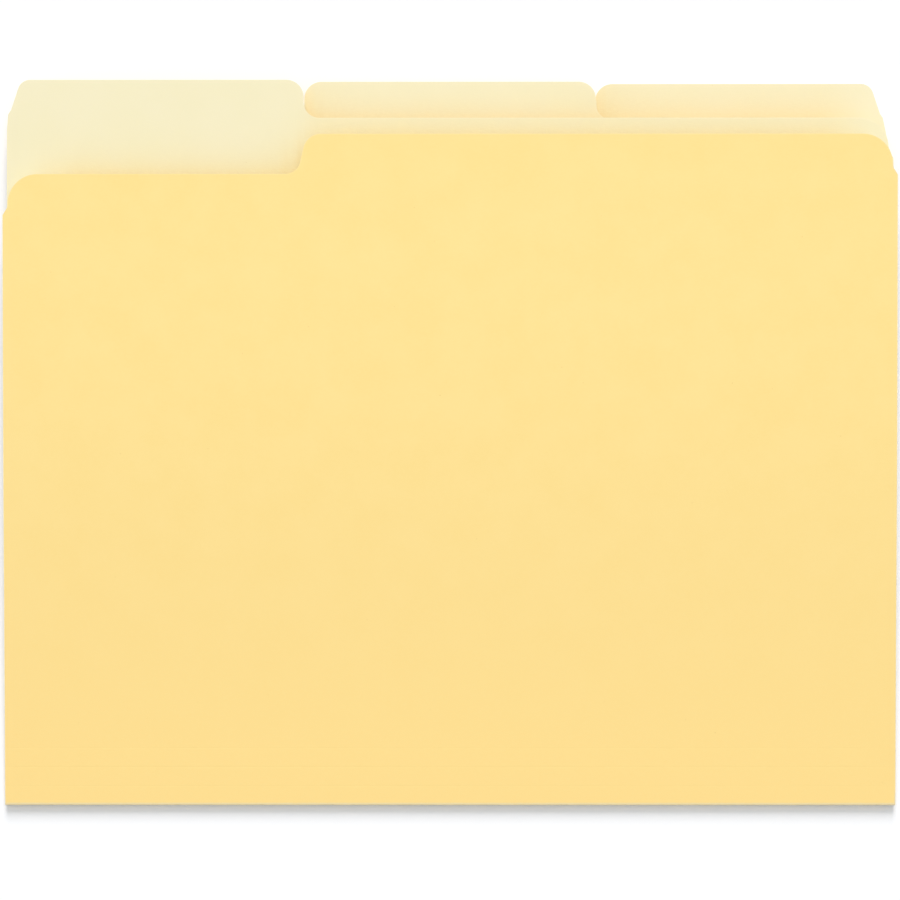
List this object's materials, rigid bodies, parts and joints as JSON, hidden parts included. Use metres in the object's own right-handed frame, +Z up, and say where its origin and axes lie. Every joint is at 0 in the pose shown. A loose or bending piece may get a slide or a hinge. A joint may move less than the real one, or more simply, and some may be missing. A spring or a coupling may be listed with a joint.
{
  "type": "file folder set",
  "caption": "Pile of letter-size file folders with staggered third-cut tabs; each cover opens on a scored, expanding fold.",
  "frame": {"origin": "middle of the rear folder's underside, halfway up its back panel from the fold", "axes": "+X along the folders' width towards the rear folder's tab, +Y from the fold towards the tabs, +Z up from the table"},
  "size_m": [0.2954, 0.2414, 0.0199],
  "materials": {
    "outside_board": "matte",
    "inside_board": "matte"
  },
  "bodies": {
    "rear_folder_back": {"rear_folder_back": "inside_board"},
    "rear_folder_crease": {"rear_folder_crease": "outside_board"},
    "rear_folder_strip_1": {"rear_folder_strip_1": "outside_board"},
    "rear_folder_strip_2": {"rear_folder_strip_2": "outside_board"},
    "rear_folder_strip_3": {"rear_folder_strip_3": "outside_board"},
    "rear_folder_cover": {"rear_folder_cover": "outside_board"},
    "middle_folder_back": {"middle_folder_back": "inside_board"},
    "middle_folder_crease": {"middle_folder_crease": "outside_board"},
    "middle_folder_strip_1": {"middle_folder_strip_1": "outside_board"},
    "middle_folder_strip_2": {"middle_folder_strip_2": "outside_board"},
    "middle_folder_strip_3": {"middle_folder_strip_3": "outside_board"},
    "middle_folder_cover": {"middle_folder_cover": "outside_board"},
    "front_folder_back": {"front_folder_back": "inside_board"},
    "front_folder_crease": {"front_folder_crease": "outside_board"},
    "front_folder_strip_1": {"front_folder_strip_1": "outside_board"},
    "front_folder_strip_2": {"front_folder_strip_2": "outside_board"},
    "front_folder_strip_3": {"front_folder_strip_3": "outside_board"},
    "front_folder_cover": {"front_folder_cover": "outside_board"}
  },
  "joints": [
    {"name": "rear_open", "type": "hinge", "parent": "rear_folder_back", "child": "rear_folder_crease", "pos_m": [0, -0.11382, 0.00048], "axis": [-1, 0, 0], "range_deg": [-85, 0], "deforming": ["rear_folder_crease"]},
    {"name": "rear_expand", "type": "slide", "parent": "rear_folder_crease", "child": "rear_folder_cover", "axis": [0, -0.5973, 0.802], "range_m": [0, 0.01751], "deforming": ["rear_folder_crease", "rear_folder_strip_1", "rear_folder_strip_2", "rear_folder_strip_3"]},
    {"name": "rear_strip_1_turn", "type": "hinge", "parent": "rear_folder_crease", "child": "rear_folder_strip_1", "pos_m": [0, -0.11382, 0.00048], "axis": [1, 0, 0], "range_deg": [0, 90]},
    {"name": "rear_strip_2_turn", "type": "hinge", "parent": "rear_folder_strip_1", "child": "rear_folder_strip_2", "pos_m": [0, -0.10796, 0.00091], "axis": [1, 0, 0], "range_deg": [-30, 0]},
    {"name": "rear_strip_3_turn", "type": "hinge", "parent": "rear_folder_strip_2", "child": "rear_folder_strip_3", "pos_m": [0, -0.10161, 0.00101], "axis": [1, 0, 0], "range_deg": [-30, 0]},
    {"name": "middle_lift", "type": "slide", "parent": "rear_folder_cover", "child": "middle_folder_back", "axis": [0, -0.0157, 0.9999], "range_m": [0, 0.12]},
    {"name": "middle_open", "type": "hinge", "parent": "middle_folder_back", "child": "middle_folder_crease", "pos_m": [0, -0.11384, 0.00174], "axis": [-1, 0, 0], "range_deg": [-85, 0], "deforming": ["middle_folder_crease"]},
    {"name": "middle_expand", "type": "slide", "parent": "middle_folder_crease", "child": "middle_folder_cover", "axis": [0, -0.6091, 0.7931], "range_m": [0, 0.01751], "deforming": ["middle_folder_crease", "middle_folder_strip_1", "middle_folder_strip_2", "middle_folder_strip_3"]},
    {"name": "middle_strip_1_turn", "type": "hinge", "parent": "middle_folder_crease", "child": "middle_folder_strip_1", "pos_m": [0, -0.11384, 0.00174], "axis": [1, 0, 0], "range_deg": [0, 90]},
    {"name": "middle_strip_2_turn", "type": "hinge", "parent": "middle_folder_strip_1", "child": "middle_folder_strip_2", "pos_m": [0, -0.10798, 0.00226], "axis": [1, 0, 0], "range_deg": [-30, 0]},
    {"name": "middle_strip_3_turn", "type": "hinge", "parent": "middle_folder_strip_2", "child": "middle_folder_strip_3", "pos_m": [0, -0.10164, 0.00245], "axis": [1, 0, 0], "range_deg": [-30, 0]},
    {"name": "front_lift", "type": "slide", "parent": "middle_folder_cover", "child": "front_folder_back", "axis": [0, -0.0305, 0.9995], "range_m": [0, 0.12]},
    {"name": "front_open", "type": "hinge", "parent": "front_folder_back", "child": "front_folder_crease", "pos_m": [0, -0.11388, 0.003], "axis": [1, 0, 0], "range_deg": [0, 176], "deforming": ["front_folder_crease"]},
    {"name": "front_expand", "type": "slide", "parent": "front_folder_crease", "child": "front_folder_cover", "axis": [0, 0.6431, -0.7657], "range_m": [-0.01751, 0], "deforming": ["front_folder_crease", "front_folder_strip_1", "front_folder_strip_2", "front_folder_strip_3"]},
    {"name": "front_strip_1_turn", "type": "hinge", "parent": "front_folder_crease", "child": "front_folder_strip_1", "pos_m": [0, -0.11388, 0.003], "axis": [1, 0, 0], "range_deg": [0, 90]},
    {"name": "front_strip_2_turn", "type": "hinge", "parent": "front_folder_strip_1", "child": "front_folder_strip_2", "pos_m": [0, -0.10805, 0.00377], "axis": [1, 0, 0], "range_deg": [-30, 0]},
    {"name": "front_strip_3_turn", "type": "hinge", "parent": "front_folder_strip_2", "child": "front_folder_strip_3", "pos_m": [0, -0.10172, 0.00424], "axis": [1, 0, 0], "range_deg": [-30, 0]}
  ],
  "couplings": [
    {"joint": "rear_strip_1_turn", "follows": "rear_expand", "rad_per_m": 89.71},
    {"joint": "rear_strip_2_turn", "follows": "rear_expand", "rad_per_m": -29.903},
    {"joint": "rear_strip_3_turn", "follows": "rear_expand", "rad_per_m": -29.903},
    {"joint": "middle_strip_1_turn", "follows": "middle_expand", "rad_per_m": 89.71},
    {"joint": "middle_strip_2_turn", "follows": "middle_expand", "rad_per_m": -29.903},
    {"joint": "middle_strip_3_turn", "follows": "middle_expand", "rad_per_m": -29.903},
    {"joint": "front_strip_1_turn", "follows": "front_expand", "rad_per_m": -89.71},
    {"joint": "front_strip_2_turn", "follows": "front_expand", "rad_per_m": 29.903},
    {"joint": "front_strip_3_turn", "follows": "front_expand", "rad_per_m": 29.903}
  ]
}
